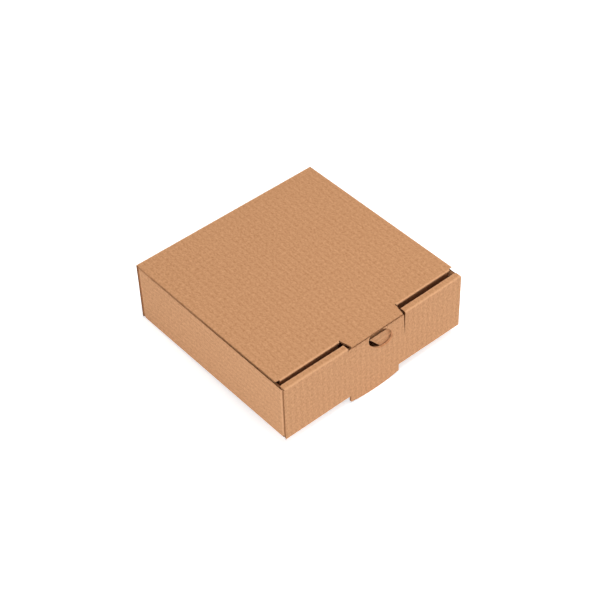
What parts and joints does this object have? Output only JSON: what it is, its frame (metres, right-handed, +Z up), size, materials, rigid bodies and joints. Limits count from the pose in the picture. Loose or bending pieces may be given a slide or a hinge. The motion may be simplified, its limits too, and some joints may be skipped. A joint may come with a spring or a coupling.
{
  "type": "dessert box",
  "caption": "Square folded corrugated dessert box with a hinged lid, tuck flaps, a rolled front wall and a fold-out front tab with a finger hole.",
  "frame": {"origin": "centre of the bottom panel's outer face, between the outer faces of the walls", "axes": "+Z up through the lid, +X to the right seen from the front, front wall and closure tab at -Y, lid crease at +Y"},
  "size_m": [0.21, 0.209, 0.0754],
  "materials": {
    "kraft_board": "matt, ribbed by the flutes"
  },
  "bodies": {
    "tray": {"base_tray": "kraft_board"},
    "lid": {"lid": "kraft_board"},
    "closure_tab": {"closure_tab": "kraft_board"}
  },
  "joints": [
    {"name": "lid_hinge", "type": "hinge", "parent": "tray", "child": "lid", "pos_m": [0, 0.104, 0.0654], "axis": [-1, 0, 0], "range_deg": [0, 190]},
    {"name": "tab_hinge", "type": "hinge", "parent": "tray", "child": "closure_tab", "pos_m": [0, -0.104, 0.0335], "axis": [1, 0, 0], "range_deg": [0, 150]}
  ]
}
